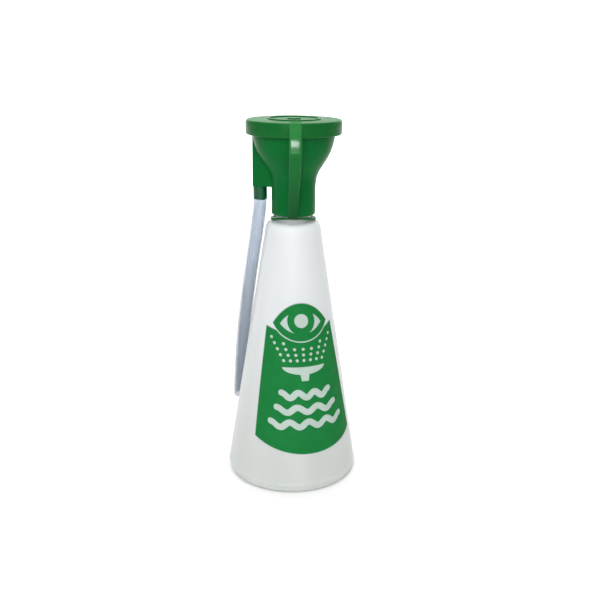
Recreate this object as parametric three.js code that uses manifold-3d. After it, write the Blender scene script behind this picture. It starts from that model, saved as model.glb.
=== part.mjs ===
// Squeeze-bottle eyewash: a cone-shaped bottle with a screw-on eye cup, a side drain with a hose, a dust
// lid on a strap, and a dip tube that feeds a spray nozzle in the floor of the cup.
// Millimetres, +Z up. The origin is the centre of the bottle's base, on the surface that it stands on.
// The strap faces the front, -Y. Angles round the bottle count from the front, positive towards +X.
import * as THREE from "three";
import { mergeVertices } from "three/addons/utils/BufferGeometryUtils.js";
import Module from "manifold-3d";

const wasm = await Module();
wasm.setup();

// ---------------------------------------------------------------- driving dimensions
const HEIGHT = 245; // base to lid top
const GAP = 0.3; // kept between pieces that touch
const ROUND = 48; // sides of a full turn on the large round pieces
const ROUND_SMALL = 24; // and on the small ones

// bottle
const BASE_R = 44.8; // widest radius, just above the heel
const BASE_FLAT_R = 36.8; // inner edge of the ring that it stands on
const BOTTLE_WALL = 1.4;
const HEEL_R = 2.4; // rounding of the heel
const HEEL_Z = 5.5; // where the heel meets the cone
const SHOULDER_Z = 168; // where the cone ends
const SHOULDER_R = 19.3;
const NECK_Z = 179.2; // foot of the neck
const NECK_R = 11.6; // outside, between the threads
const NECK_BORE_R = 9.6;
const NECK_TOP_Z = 199.4;

// screw thread, right-handed
const THREAD_PITCH = 4;
const THREAD_TURNS = 1.5;
const THREAD_DEPTH = 1.1;
const THREAD_ROOT_H = 2.0; // ridge height at its foot
const THREAD_TIP_H = 0.9; // and at its crest
const THREAD_Z = 187.2; // middle of the neck's ridge where it starts
const THREAD_BURY = 0.5; // how far a ridge is rooted in its wall

// eye cup
const COLLAR_Z = 183.6; // lower edge of the collar
const COLLAR_R = 14.5;
const COLLAR_BORE_R = 13.2;
const COLLAR_THREAD_DEPTH = 1.0;
const FLOOR_Z = 201.4; // underside of the cup's floor
const FLOOR_T = 2.2;
const CUP_RIM_Z = 243;
const CUP_RIM_R = 28.6; // over the bead
const STEM_R = 5.6; // socket for the dip tube, under the floor
const STEM_Z = 194;
const NOZZLE_BORE_R = 5;
const NOZZLE_SEAT_Z = 201;

// drain
const DUCT_ANGLE = THREE.MathUtils.degToRad(-102);
const DUCT_R = 26.4; // outer face
const DUCT_W = 10.6;
const DUCT_WALL = 1.2;
const DUCT_Z = 201; // underside
const DUCT_TOP_Z = 240.6;
const DUCT_FLOOR_Z = 203.4;
const SPIGOT_OFFSET = 22.4; // hose spigot's axis from the bottle's axis
const SPIGOT_R = 3.05;
const SPIGOT_BORE_R = 1.7;
const SPIGOT_PLUG_R = 2.5; // the end that goes up into the duct
const SPIGOT_Z = 192; // lower end
const HOSE_R = 4.65;
const HOSE_BORE_R = 3.5;

// dust lid and its strap
const LID_R = 31.2;
const LID_WALL = 1.6;
const LID_EDGE_R = 1.8; // rounding of the top edge
const LID_TOP_Z = 244.6; // top of the plate, below the raised ring
const SKIRT_Z = 235.4; // lower edge of the skirt
const STRAP_T = 1.5;
const STRAP_W = 7.6;
const BEND = [-35.4, 233.6]; // y and z of the line that the strap bends on
const BEND_CLEARANCE = 2.3; // from that line to the strap's upper end, for a half turn of the lid
const TAB_TOP_Z = 243.4; // where the strap leaves the lid's edge
const RING_IN_R = 12.9;
const RING_OUT_R = 15.2;
const RING_T = 1.2;
const RING_Z = 180.2; // middle of the ring where it lies on the shoulder
const RING_LIFT = 2.4; // how far the strap pulls its front up

// inside pieces
const TUBE_R = 3.6; // dip tube
const TUBE_BORE_R = 2.6;
const TUBE_FOOT_Z = 6;
const GASKET_IN_R = 8;
const GASKET_OUT_R = 12.8;
const SPRAY_HOLE_R = 0.6;
const SPRAY_CIRCLE_R = 2; // circle of the outer spray holes
const SPRAY_HOLES = 6; // on that circle, with one more in the middle

// printed sign, angles in degrees
const SIGN = {
  centre: 10.4, // at the eye
  lean: 0.08, // further round for each millimetre below the eye
  panelLow: 27.5, // the foot is an arc: its middle
  panelCorner: 37, // and its ends
  panelFootHalf: 58,
  panelTop: 112,
  panelTopHalf: 49,
  eyeHalf: 39.5,
  eyeZ: 115.2,
  eyeRise: 13.6, // upper lid above the corners
  eyeDrop: 11.2, // lower lid below them
  eyeTip: 0.4, // half height at the corners
  eyeMargin: 1.3, // bare line between the eye and the panel
  lift: GAP, // off the bottle
  thickness: 0.3,
};

// ---------------------------------------------------------------- materials
function plastic(colour, roughness) {
  return new THREE.MeshStandardMaterial({ color: colour, roughness, metalness: 0 });
}

const green = plastic(0x17652f, 0.35);
const darkGreen = plastic(0x114a2b, 0.4);
const signGreen = plastic(0x2a8040, 0.5);
const milky = plastic(0xe4e7e4, 0.4);
const sealGrey = plastic(0xd8d8d0, 0.7);
const natural = plastic(0xeef0ee, 0.35);
const clear = plastic(0xaab8cc, 0.15);

// ---------------------------------------------------------------- helpers
const tau = 2 * Math.PI;

// Point at a radius, an angle from the front and a height.
function around(radius, angle, z) {
  return [radius * Math.sin(angle), -radius * Math.cos(angle), z];
}

// Closed solid from a geometry, for joins and cuts.
function solid(geometry) {
  const bare = geometry.index ? geometry.toNonIndexed() : geometry.clone();
  bare.deleteAttribute("normal");
  bare.deleteAttribute("uv");
  const merged = mergeVertices(bare, 1e-4);
  const index = merged.index.array;
  const triangles = [];
  for (let i = 0; i < index.length; i += 3) {
    const [a, b, c] = index.slice(i, i + 3);
    if (a !== b && b !== c && c !== a) triangles.push(a, b, c);
  }
  return new wasm.Manifold(new wasm.Mesh({
    numProp: 3,
    vertProperties: merged.attributes.position.array,
    triVerts: new Uint32Array(triangles),
  }));
}

function geometryFrom(vertices, faces) {
  return new THREE.BufferGeometry()
    .setAttribute("position", new THREE.BufferAttribute(new Float32Array(vertices), 3))
    .setIndex(faces);
}

// Geometry of a joined or cut solid.
function geometryOf(body) {
  const { numProp, numVert, vertProperties, triVerts } = body.getMesh();
  const vertices = [];
  for (let i = 0; i < numVert; i++) {
    vertices.push(...vertProperties.subarray(i * numProp, i * numProp + 3));
  }
  return geometryFrom(vertices, Array.from(triVerts));
}

// Body of revolution about Z from [radius, z] pairs that go up its outside. An outline that starts off
// the axis is closed on itself.
function revolve(outline, sides = ROUND) {
  const points = outline.map(([r, z]) => new THREE.Vector2(r, z));
  if (outline[0][0] > 0) points.push(points[0].clone());
  return new THREE.LatheGeometry(points, sides).rotateX(Math.PI / 2);
}

// Upright cylinder between two heights.
function rod(radius, low, high, sides = ROUND_SMALL) {
  return new THREE.CylinderGeometry(radius, radius, high - low, sides)
    .rotateX(Math.PI / 2)
    .translate(0, 0, (low + high) / 2);
}

// Upright tube between two heights.
function pipe(inner, outer, low, high, sides = ROUND_SMALL) {
  return revolve([[inner, low], [outer, low], [outer, high], [inner, high]], sides);
}

// Box that points away from the axis at the duct's angle.
function radialBlock(near, far, width, low, high) {
  return new THREE.BoxGeometry(width, far - near, high - low)
    .translate(0, -(near + far) / 2, (low + high) / 2)
    .rotateZ(DUCT_ANGLE);
}

// Points of an arc, from one angle to another in degrees.
function arc([x, y], radius, from, to, steps) {
  return Array.from({ length: steps + 1 }, (_, i) => {
    const a = THREE.MathUtils.degToRad(from + ((to - from) * i) / steps);
    return [x + radius * Math.cos(a), y + radius * Math.sin(a)];
  });
}

// Both sides of a line of points, as one outline round a strip of even thickness.
function strip(line, thickness) {
  const sides = line.map((point, i) => {
    const before = line[Math.max(i - 1, 0)];
    const after = line[Math.min(i + 1, line.length - 1)];
    const along = new THREE.Vector2(after[0] - before[0], after[1] - before[1]).normalize();
    const out = [along.y * (thickness / 2), -along.x * (thickness / 2)];
    return [[point[0] + out[0], point[1] + out[1]], [point[0] - out[0], point[1] - out[1]]];
  });
  return [...sides.map((s) => s[0]), ...sides.reverse().map((s) => s[1])];
}

// Solid with an outline in Y and Z, centred on X.
function crosswise(outline, width) {
  const shape = new THREE.Shape(outline.map(([y, z]) => new THREE.Vector2(y, z)));
  const turn = new THREE.Matrix4().makeBasis(
    new THREE.Vector3(0, 1, 0), new THREE.Vector3(0, 0, 1), new THREE.Vector3(1, 0, 0),
  );
  return new THREE.ExtrudeGeometry(shape, { depth: width, bevelEnabled: false })
    .applyMatrix4(turn)
    .translate(-width / 2, 0, 0);
}

// Helical ridge round Z, from its root in the wall that carries it to its crest.
function threadRidge(rootR, crestR, startZ) {
  const stepsPerTurn = 36;
  const steps = THREAD_TURNS * stepsPerTurn;
  const runOut = 4; // steps over which each end fades
  const fadedShare = 0.4; // of the ridge's depth, left at its very end
  const vertices = [];
  for (let i = 0; i <= steps; i++) {
    const angle = (i / stepsPerTurn) * tau;
    const z = startZ + (i / stepsPerTurn) * THREAD_PITCH;
    const fade = Math.min(1, i / runOut, (steps - i) / runOut);
    const crest = rootR + (crestR - rootR) * (fadedShare + (1 - fadedShare) * fade);
    const section = [
      [rootR, -THREAD_ROOT_H], [crest, -THREAD_TIP_H], [crest, THREAD_TIP_H], [rootR, THREAD_ROOT_H],
    ];
    for (const [r, h] of section) vertices.push(r * Math.cos(angle), r * Math.sin(angle), z + h / 2);
  }
  const faces = [];
  const quad = (a, b, c, d) => {
    faces.push(...(crestR > rootR ? [a, b, c, a, c, d] : [a, c, b, a, d, c]));
  };
  for (let i = 0; i < steps; i++) {
    for (let k = 0; k < 4; k++) {
      const next = (k + 1) % 4;
      quad(4 * i + k, 4 * i + 4 + k, 4 * i + 4 + next, 4 * i + next);
    }
  }
  quad(0, 1, 2, 3);
  quad(4 * steps + 3, 4 * steps + 2, 4 * steps + 1, 4 * steps);
  return solid(geometryFrom(vertices, faces));
}

const group = new THREE.Group();

function add(name, geometry, material) {
  const mesh = new THREE.Mesh(geometry, material);
  mesh.name = name;
  group.add(mesh);
  return mesh;
}

// ---------------------------------------------------------------- bottle
// Outside radius of the cone at a height.
function coneR(z) {
  return BASE_R + ((SHOULDER_R - BASE_R) * (z - HEEL_Z)) / (SHOULDER_Z - HEEL_Z);
}

function bottle() {
  const outside = [
    [0, 2.4], // the base is pushed up in the middle
    [BASE_FLAT_R - 6, 1.8],
    [BASE_FLAT_R, 0],
    ...arc([BASE_R - HEEL_R, HEEL_R], HEEL_R, -90, 0, 3),
    [BASE_R, HEEL_Z],
    [SHOULDER_R, SHOULDER_Z],
    [SHOULDER_R - 1.1, SHOULDER_Z + 7],
    [SHOULDER_R - 1.9, SHOULDER_Z + 9.2],
    [SHOULDER_R - 3.2, SHOULDER_Z + 10.6],
    [NECK_R + 1.2, NECK_Z],
    [NECK_R, NECK_Z + 0.6],
    [NECK_R, NECK_TOP_Z - 0.5],
    [NECK_R - 0.5, NECK_TOP_Z],
  ];
  const inside = [
    [NECK_BORE_R, NECK_TOP_Z],
    [NECK_BORE_R, NECK_Z - 1.4],
    [SHOULDER_R - 4, SHOULDER_Z + 9],
    [SHOULDER_R - 2.7, SHOULDER_Z + 6.6],
    [SHOULDER_R - BOTTLE_WALL - 0.2, SHOULDER_Z],
    [BASE_R - BOTTLE_WALL, HEEL_Z + 1],
    [BASE_R - 5, 2 + BOTTLE_WALL],
    [BASE_FLAT_R - 6, 2 + BOTTLE_WALL],
    [0, 2.6 + BOTTLE_WALL],
  ];
  const shell = solid(revolve([...outside, ...inside]));
  const ridge = threadRidge(NECK_R - THREAD_BURY, NECK_R + THREAD_DEPTH, THREAD_Z);
  return geometryOf(shell.add(ridge));
}

// Film on the bottle between two edges, each a height for a share from -1 to 1 of the half width.
function film(lowHalf, highHalf, lowAt, highAt) {
  const step = 7.5; // degrees
  const columns = Math.ceil((2 * lowHalf) / step);
  const vertices = [];
  for (let i = 0; i <= columns; i++) {
    const share = (2 * i) / columns - 1;
    for (const [half, z] of [[lowHalf, lowAt(share)], [highHalf, highAt(share)]]) {
      const turn = SIGN.centre + SIGN.lean * (SIGN.eyeZ - z) + share * half;
      const angle = THREE.MathUtils.degToRad(turn);
      for (const lift of [SIGN.lift, SIGN.lift + SIGN.thickness]) {
        vertices.push(...around(coneR(z) + lift, angle, z));
      }
    }
  }
  const faces = [];
  const quad = (a, b, c, d) => faces.push(a, b, c, a, c, d);
  for (let i = 0; i < columns; i++) {
    const [a, b] = [4 * i, 4 * i + 4]; // inner low, outer low, inner high, outer high
    quad(a + 1, b + 1, b + 3, a + 3);
    quad(a, a + 2, b + 2, b);
    quad(a, b, b + 1, a + 1);
    quad(a + 2, a + 3, b + 3, b + 2);
  }
  const last = 4 * columns;
  quad(0, 1, 3, 2);
  quad(last, last + 2, last + 3, last + 1);
  return geometryFrom(vertices, faces);
}

// The eye's lids, and the panel's straight top where it isn't cut back round the eye.
const upperLid = (share) => SIGN.eyeZ + SIGN.eyeTip + SIGN.eyeRise * (1 - share ** 2);
const lowerLid = (share) => SIGN.eyeZ - SIGN.eyeTip - SIGN.eyeDrop * (1 - share ** 2);

function panelTop(share) {
  const eyeShare = (share * SIGN.panelTopHalf) / SIGN.eyeHalf;
  if (Math.abs(eyeShare) > 1) return SIGN.panelTop;
  return Math.min(SIGN.panelTop, lowerLid(eyeShare) - SIGN.eyeMargin);
}

function panelFoot(share) {
  return SIGN.panelLow + (SIGN.panelCorner - SIGN.panelLow) * share ** 2;
}

// ---------------------------------------------------------------- eye cup
function eyeCup() {
  const floorTop = FLOOR_Z + FLOOR_T;
  const tubeBore = TUBE_R + GAP;
  const outside = [
    [COLLAR_BORE_R + 0.4, COLLAR_Z],
    [COLLAR_R - 0.4, COLLAR_Z],
    [COLLAR_R, COLLAR_Z + 0.4],
    [14.6, 201.7], // from here the wall flares in an S
    [15.4, 208.1],
    [18.2, 214],
    [22.4, 220.8],
    [25, 227],
    [26.8, 234.5],
    [27.2, CUP_RIM_Z - 2.8],
    [CUP_RIM_R, CUP_RIM_Z - 1.8],
    [CUP_RIM_R, CUP_RIM_Z - 0.7],
    [CUP_RIM_R - 0.7, CUP_RIM_Z],
  ];
  const bowl = [
    [26.3, CUP_RIM_Z],
    [25.7, CUP_RIM_Z - 1],
    [25.3, 234.5],
    [23.6, 227],
    [21.2, 221.6],
    [17.2, 215.4],
    [14.2, 209.4],
    [13.3, floorTop + 0.6],
    [12.6, floorTop],
  ];
  const stem = [
    [NOZZLE_BORE_R, floorTop],
    [NOZZLE_BORE_R, NOZZLE_SEAT_Z],
    [TUBE_BORE_R, NOZZLE_SEAT_Z],
    [TUBE_BORE_R, NOZZLE_SEAT_Z - 1],
    [tubeBore, NOZZLE_SEAT_Z - 1],
    [tubeBore, STEM_Z],
    [STEM_R, STEM_Z],
    [STEM_R, FLOOR_Z],
    [COLLAR_BORE_R, FLOOR_Z],
    [COLLAR_BORE_R, COLLAR_Z + 0.4],
  ];
  const cup = solid(revolve([...outside, ...bowl, ...stem]));
  const bowlSpace = solid(revolve([[0, floorTop], ...bowl.reverse(), [0, CUP_RIM_Z]]));

  const duct = solid(radialBlock(COLLAR_R - 1, DUCT_R, DUCT_W, DUCT_Z, DUCT_TOP_Z));
  const channelWidth = DUCT_W - 2 * DUCT_WALL;
  const channel = solid(radialBlock(
    COLLAR_R - 1.6, DUCT_R - DUCT_WALL, channelWidth, DUCT_FLOOR_Z, DUCT_TOP_Z - DUCT_WALL,
  ));
  const drain = solid(rod(SPIGOT_PLUG_R + GAP, DUCT_Z - 1, DUCT_FLOOR_Z + 1)
    .translate(...around(SPIGOT_OFFSET, DUCT_ANGLE, 0)));
  const ridge = threadRidge(
    COLLAR_BORE_R + THREAD_BURY, COLLAR_BORE_R - COLLAR_THREAD_DEPTH, THREAD_Z - THREAD_PITCH / 2,
  );
  const body = cup.add(duct.subtract(bowlSpace)).subtract(channel).subtract(drain).add(ridge);
  return geometryOf(body);
}

// Spray insert: a perforated cap whose plug sits in the middle of the cup's floor.
function sprayNozzle() {
  const plugR = NOZZLE_BORE_R - GAP;
  const flangeZ = FLOOR_Z + FLOOR_T + GAP;
  const chamberR = plugR - 1.3;
  const cap = solid(revolve([
    [0, flangeZ + 0.4],
    [chamberR, flangeZ + 0.2],
    [chamberR, NOZZLE_SEAT_Z + GAP],
    [plugR, NOZZLE_SEAT_Z + GAP],
    [plugR, flangeZ],
    [plugR + 1.8, flangeZ],
    [plugR + 1.8, flangeZ + 0.7],
    [plugR + 0.6, flangeZ + 1.5],
    [0, flangeZ + 2],
  ], ROUND_SMALL));
  let body = cap;
  for (let i = 0; i <= SPRAY_HOLES; i++) {
    const [x, y] = i === SPRAY_HOLES ? [0, 0] : around(SPRAY_CIRCLE_R, (i / SPRAY_HOLES) * tau, 0);
    body = body.subtract(solid(rod(SPRAY_HOLE_R, flangeZ - 1, flangeZ + 3, 8).translate(x, y, 0)));
  }
  return geometryOf(body);
}

// ---------------------------------------------------------------- drain
// Spigot under the duct. Its plug goes up into the duct's floor, and the hose is pushed over it.
function hoseSpigot() {
  const shoulder = DUCT_Z - GAP;
  return revolve([
    [SPIGOT_BORE_R, SPIGOT_Z],
    [SPIGOT_R - 0.4, SPIGOT_Z],
    [SPIGOT_R, SPIGOT_Z + 0.8],
    [SPIGOT_R, shoulder],
    [SPIGOT_PLUG_R, shoulder],
    [SPIGOT_PLUG_R, DUCT_FLOOR_Z - 0.2],
    [SPIGOT_BORE_R, DUCT_FLOOR_Z - 0.2],
  ], ROUND_SMALL);
}

// The hose starts under the duct, round its spigot, leans out past the cone and ends open beside the
// bottle.
function drainHose() {
  const [x, y] = around(SPIGOT_OFFSET, DUCT_ANGLE, 0);
  const route = new THREE.CatmullRomCurve3([
    [x, y, DUCT_Z - GAP],
    [x, y, SPIGOT_Z],
    [-22.5, 4.8, 184],
    [-24.7, 5.7, 168.7],
    [-28.9, 8.5, 140],
    [-32.4, 11.4, 113],
    [-34.9, 15.2, 88.8],
    [-36.9, 20.5, 60],
    [-37.4, 23, 50],
    [-37.5, 24.6, 43],
  ].map((p) => new THREE.Vector3(...p)));
  const circle = (radius) => arc([0, 0], radius, 0, 330, 11).map((p) => new THREE.Vector2(...p));
  const section = new THREE.Shape(circle(HOSE_R));
  section.holes.push(new THREE.Path(circle(HOSE_BORE_R)));
  return new THREE.ExtrudeGeometry(section, { extrudePath: route, steps: 26, bevelEnabled: false });
}

// ---------------------------------------------------------------- dust lid and its tether
function dustLid() {
  const edge = arc([LID_R - LID_EDGE_R, LID_TOP_Z - LID_EDGE_R], LID_EDGE_R, 0, 90, 3);
  const underside = CUP_RIM_Z + GAP;
  const innerR = LID_R - LID_WALL;
  const cap = solid(revolve([
    [0, underside],
    [innerR - 0.6, underside],
    [innerR, underside - 0.6],
    [innerR, SKIRT_Z],
    [LID_R - 0.3, SKIRT_Z],
    [LID_R, SKIRT_Z + 0.4],
    ...edge,
    [17.6, LID_TOP_Z], // raised ring on the plate
    [17.2, HEIGHT],
    [15.8, HEIGHT],
    [15.4, LID_TOP_Z],
    [4.4, LID_TOP_Z], // raised disc in its middle
    [4, HEIGHT],
    [0, HEIGHT],
  ]));
  const [bendY, bendZ] = BEND;
  const top = [-(LID_R - LID_WALL / 2), TAB_TOP_Z];
  const tab = solid(crosswise(strip([top, BEND], STRAP_T), STRAP_W));
  const end = solid(rod(STRAP_T / 2, -STRAP_W / 2, STRAP_W / 2, 12)
    .rotateY(Math.PI / 2)
    .translate(0, bendY, bendZ));
  return geometryOf(cap.add(tab.add(end)));
}

// Ring round the neck, with its front pulled up, and the strap that rises from it to the lid's tab.
function lidTether() {
  const vertices = [];
  for (let i = 0; i < ROUND; i++) {
    const angle = (i / ROUND) * tau;
    const z = RING_Z + RING_LIFT * Math.max(0, Math.cos(angle)) ** 1.2;
    vertices.push(...around(RING_IN_R, angle, z - RING_T / 2), ...around(RING_OUT_R, angle, z - RING_T / 2));
    vertices.push(...around(RING_OUT_R, angle, z + RING_T / 2), ...around(RING_IN_R, angle, z + RING_T / 2));
  }
  const faces = [];
  for (let i = 0; i < ROUND; i++) {
    const [a, b] = [4 * i, 4 * ((i + 1) % ROUND)];
    for (let k = 0; k < 4; k++) {
      const next = (k + 1) % 4;
      faces.push(a + k, b + k, b + next, a + k, b + next, a + next);
    }
  }
  const ring = solid(geometryFrom(vertices, faces));

  const [bendY, bendZ] = BEND;
  const foot = [-17.4, 185.2]; // where the strap turns in to the ring
  const along = new THREE.Vector2(foot[0] - bendY, foot[1] - bendZ).normalize();
  const top = [bendY + along.x * BEND_CLEARANCE, bendZ + along.y * BEND_CLEARANCE];
  const line = [top, foot, [-16.4, 183.3], [-14.4, RING_Z + RING_LIFT - 0.1]];
  const strap = solid(crosswise(strip(line, STRAP_T), STRAP_W));
  return geometryOf(ring.add(strap));
}

// ---------------------------------------------------------------- assembly
const tubeTop = NOZZLE_SEAT_Z - 1 - GAP;

add("bottle", bottle(), milky);
add("sign_panel", film(SIGN.panelFootHalf, SIGN.panelTopHalf, panelFoot, panelTop), signGreen);
add("sign_eye", film(SIGN.eyeHalf, SIGN.eyeHalf, lowerLid, upperLid), signGreen);
add("eye_cup", eyeCup(), green);
add("spray_nozzle", sprayNozzle(), natural);
add("gasket", pipe(GASKET_IN_R, GASKET_OUT_R, NECK_TOP_Z + GAP, FLOOR_Z - GAP), sealGrey);
add("dip_tube", pipe(TUBE_BORE_R, TUBE_R, TUBE_FOOT_Z, tubeTop), natural);
add("hose_spigot", hoseSpigot(), darkGreen).position.set(...around(SPIGOT_OFFSET, DUCT_ANGLE, 0));
add("drain_hose", drainHose(), clear);
add("dust_lid", dustLid(), green);
add("lid_tether", lidTether(), green);

export default group;
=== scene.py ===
"""The looks of a squeeze-bottle eyewash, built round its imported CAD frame.

Lengths in this file are millimetres and angles are degrees. Angles round the bottle count from its front
(-Y, where the lid's strap is), positive towards +X. Meshes are made in metres, so materials are in metres.
"""
import math

import bmesh
import bpy
from mathutils import Matrix, Vector


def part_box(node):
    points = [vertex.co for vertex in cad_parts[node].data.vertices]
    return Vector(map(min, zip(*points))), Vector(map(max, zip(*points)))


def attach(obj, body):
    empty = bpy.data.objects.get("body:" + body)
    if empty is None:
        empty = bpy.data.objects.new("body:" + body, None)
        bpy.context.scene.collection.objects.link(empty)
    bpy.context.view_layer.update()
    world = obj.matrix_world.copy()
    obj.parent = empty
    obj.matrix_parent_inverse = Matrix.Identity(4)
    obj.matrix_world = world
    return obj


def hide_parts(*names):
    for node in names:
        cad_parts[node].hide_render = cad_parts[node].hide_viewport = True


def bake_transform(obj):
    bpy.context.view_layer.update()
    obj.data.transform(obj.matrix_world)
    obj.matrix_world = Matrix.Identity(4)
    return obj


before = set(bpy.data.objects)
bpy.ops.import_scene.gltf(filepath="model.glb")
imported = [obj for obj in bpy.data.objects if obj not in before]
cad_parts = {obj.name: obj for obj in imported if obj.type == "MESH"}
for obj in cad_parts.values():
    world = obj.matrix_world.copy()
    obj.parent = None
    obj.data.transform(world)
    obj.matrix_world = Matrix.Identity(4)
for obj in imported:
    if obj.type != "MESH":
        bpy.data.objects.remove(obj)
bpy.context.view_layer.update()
MM = 0.001


def extent(node):
    """Lowest and highest corner of a CAD node, in millimetres."""
    low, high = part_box(node)
    return [c / MM for c in low], [c / MM for c in high]


# ---------------------------------------------------------------- sizes from the frame
BASE_R = extent("bottle")[1][0]
NECK_TOP_Z = extent("bottle")[1][2]
COLLAR_Z = extent("eye_cup")[0][2]
CUP_RIM_R = extent("eye_cup")[1][0]
CUP_RIM_Z = extent("eye_cup")[1][2]
LID_R = extent("dust_lid")[1][0]
LID_Z = extent("dust_lid")[1][2]
SPIGOT_Z = extent("hose_spigot")[0][2]
HOSE_TOP_Z = extent("drain_hose")[1][2]
TUBE_FOOT_Z = extent("dip_tube")[0][2]
TUBE_TOP_Z = extent("dip_tube")[1][2]
TUBE_R = extent("dip_tube")[1][0]

# ---------------------------------------------------------------- the rest of the driving dimensions
HEEL_Z = 5.5  # where the heel meets the cone
SHOULDER_R, SHOULDER_Z = 19.3, 168
NECK_R = 11.6
NECK_BORE_R = 9.6
THREAD_PITCH = 4
THREAD_TURNS = 1.5
THREAD_Z = 187.2
THREAD_DEPTH = 1.1
COLLAR_BORE_R = 13.2
COLLAR_THREAD_DEPTH = 1.0
FLOOR_Z, FLOOR_TOP_Z = 201.4, 203.6
DUCT_ANGLE = -102
DUCT_R, DUCT_W, DUCT_WALL = 26.4, 10.6, 1.2
DUCT_Z, DUCT_FLOOR_Z = 201.0, 203.4
SPIGOT_OFFSET = 22.4
HOSE_R, HOSE_BORE_R = 4.65, 3.5
SKIRT_Z = LID_Z - 9.6


# ---------------------------------------------------------------- mesh helpers
def around(radius, angle, z):
    """Point at a radius, an angle from the front and a height."""
    a = math.radians(angle)
    return (radius * math.sin(a), -radius * math.cos(a), z)


def piece(name, vertices, faces, material, smooth=35):
    """An object from vertices in millimetres, with doubles merged and sharp edges kept."""
    mesh = bpy.data.meshes.new(name)
    mesh.from_pydata([[c * MM for c in v] for v in vertices], [], faces)
    work = bmesh.new()
    work.from_mesh(mesh)
    bmesh.ops.remove_doubles(work, verts=work.verts, dist=1e-6)
    bmesh.ops.dissolve_degenerate(work, edges=work.edges, dist=1e-7)
    bmesh.ops.recalc_face_normals(work, faces=work.faces)
    work.to_mesh(mesh)
    work.free()
    shade(mesh, smooth)
    mesh.materials.append(material)
    obj = bpy.data.objects.new(name, mesh)
    bpy.context.scene.collection.objects.link(obj)
    return obj


def shade(mesh, smooth):
    mesh.shade_smooth()
    mesh.set_sharp_from_angle(angle=math.radians(smooth))


def even_angles(count):
    return [360 * i / count for i in range(count)]


def evenly(start, step, count):
    return [start + step * k for k in range(count)]


def fine_near(centres, reach, step, count):
    """Angles round a full turn, even but for the stretches within reach of the centres, which are finer."""
    angles = {round(a, 4) for a in even_angles(count)}
    for centre in centres:
        near = int(round(reach / step))
        fine = [(centre + i * step) % 360 for i in range(-near, near + 1)]
        angles = {a for a in angles if abs((a - centre + 180) % 360 - 180) > reach + step / 2}
        angles |= {round(a, 4) for a in fine}
    return sorted(angles)


def turned(name, rows, material, angles=None, closed=False, smooth=35):
    """A body of revolution through rows of (radius, z), up the outside. Either may be a function of the
    angle. It closes on itself, or ends on the axis."""
    angles = angles or even_angles(96)
    vertices, rings = [], []
    for radius, z in rows:
        if radius == 0:
            rings.append([len(vertices)] * len(angles))
            vertices.append((0, 0, z))
            continue
        rings.append(list(range(len(vertices), len(vertices) + len(angles))))
        for a in angles:
            r = radius(a) if callable(radius) else radius
            vertices.append(around(r, a, z(a) if callable(z) else z))
    pairs = list(zip(rings, rings[1:]))
    if closed:
        pairs.append((rings[-1], rings[0]))
    faces = []
    for low, high in pairs:
        for i in range(len(angles)):
            j = (i + 1) % len(angles)
            corners = list(dict.fromkeys([low[i], low[j], high[j], high[i]]))
            if len(corners) > 2:
                faces.append(corners)
    return piece(name, vertices, faces, material, smooth)


def rounded(corners, steps=5):
    """A profile through corners (r, z) or (r, z, rounding). A corner with a rounding becomes an arc."""
    points = []
    for i, corner in enumerate(corners):
        here = Vector(corner[:2])
        if len(corner) < 3 or i in (0, len(corners) - 1):
            points.append(tuple(here))
            continue
        back = (Vector(corners[i - 1][:2]) - here).normalized()
        on = (Vector(corners[i + 1][:2]) - here).normalized()
        half = back.angle(on) / 2
        centre = here + (back + on).normalized() * (corner[2] / math.sin(half))
        first = here + back * (corner[2] / math.tan(half)) - centre
        last = here + on * (corner[2] / math.tan(half)) - centre
        sweep = first.angle_signed(last)
        for k in range(steps + 1):
            turn = Matrix.Rotation(-sweep * k / steps, 2)
            points.append(tuple(centre + turn @ first))
    return points


def bezier(p0, p1, p2, p3, steps):
    """Points of a cubic curve after its first one."""
    points = []
    for i in range(1, steps + 1):
        t = i / steps
        weights = ((1 - t) ** 3, 3 * t * (1 - t) ** 2, 3 * t * t * (1 - t), t ** 3)
        points.append(tuple(sum(w * p[k] for w, p in zip(weights, (p0, p1, p2, p3))) for k in (0, 1)))
    return points


def through(points, steps):
    """A smooth curve (Catmull-Rom) through points of any dimension."""
    before = [2 * a - b for a, b in zip(points[0], points[1])]
    after = [2 * a - b for a, b in zip(points[-1], points[-2])]
    line = [before, *points, after]
    curve = [tuple(points[0])]
    for p0, p1, p2, p3 in zip(line, line[1:], line[2:], line[3:]):
        for i in range(1, steps + 1):
            t = i / steps
            curve.append(tuple(
                0.5 * (2 * b + (c - a) * t + (2 * a - 5 * b + 4 * c - d) * t * t
                       + (3 * b - a - 3 * c + d) * t ** 3)
                for a, b, c, d in zip(p0, p1, p2, p3)
            ))
    return curve


def swept(name, rings, material, smooth=35, closed_ends=True):
    """A skin over rings of points, each ring going round the section."""
    count = len(rings[0])
    vertices = [p for ring in rings for p in ring]
    faces = []
    for k in range(len(rings) - 1):
        for i in range(count):
            j = (i + 1) % count
            faces.append([k * count + i, k * count + j, (k + 1) * count + j, (k + 1) * count + i])
    if closed_ends:
        faces.append(list(range(count))[::-1])
        faces.append([(len(rings) - 1) * count + i for i in range(count)])
    return piece(name, vertices, faces, material, smooth)


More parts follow.
